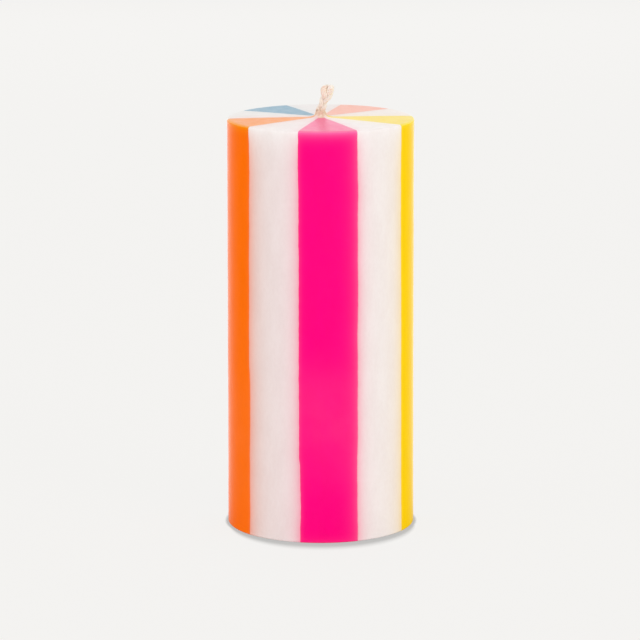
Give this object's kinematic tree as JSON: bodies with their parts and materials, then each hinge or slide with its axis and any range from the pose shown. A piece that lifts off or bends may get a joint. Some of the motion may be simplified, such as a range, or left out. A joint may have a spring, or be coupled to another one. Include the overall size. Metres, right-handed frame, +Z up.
{
  "type": "striped pillar candle",
  "caption": "Round pillar candle of full-height wax wedges, white between bright colours, that meet at a plaited cotton wick.",
  "frame": {"origin": "centre of the base, on the surface that the candle stands on", "axes": "+Z up along the wick; -Y through the middle of the pink wedge, which is the front; +X to the right seen from the front"},
  "size_m": [0.0684, 0.0684, 0.1622],
  "materials": {
    "pink_wax": "satin",
    "yellow_wax": "satin",
    "coral_wax": "satin",
    "blue_wax": "satin",
    "orange_wax": "satin",
    "white_wax": "satin",
    "cotton": "matte",
    "tinplate": "satin"
  },
  "bodies": {
    "root": {"pink_wedge": "pink_wax", "yellow_wedge": "yellow_wax", "coral_wedge": "coral_wax", "blue_wedge": "blue_wax", "orange_wedge": "orange_wax", "white_wedge_1": "white_wax", "white_wedge_2": "white_wax", "white_wedge_3": "white_wax", "white_wedge_4": "white_wax", "white_wedge_5": "white_wax", "wick": "cotton", "wick_sustainer": "tinplate"}
  },
  "joints": []
}
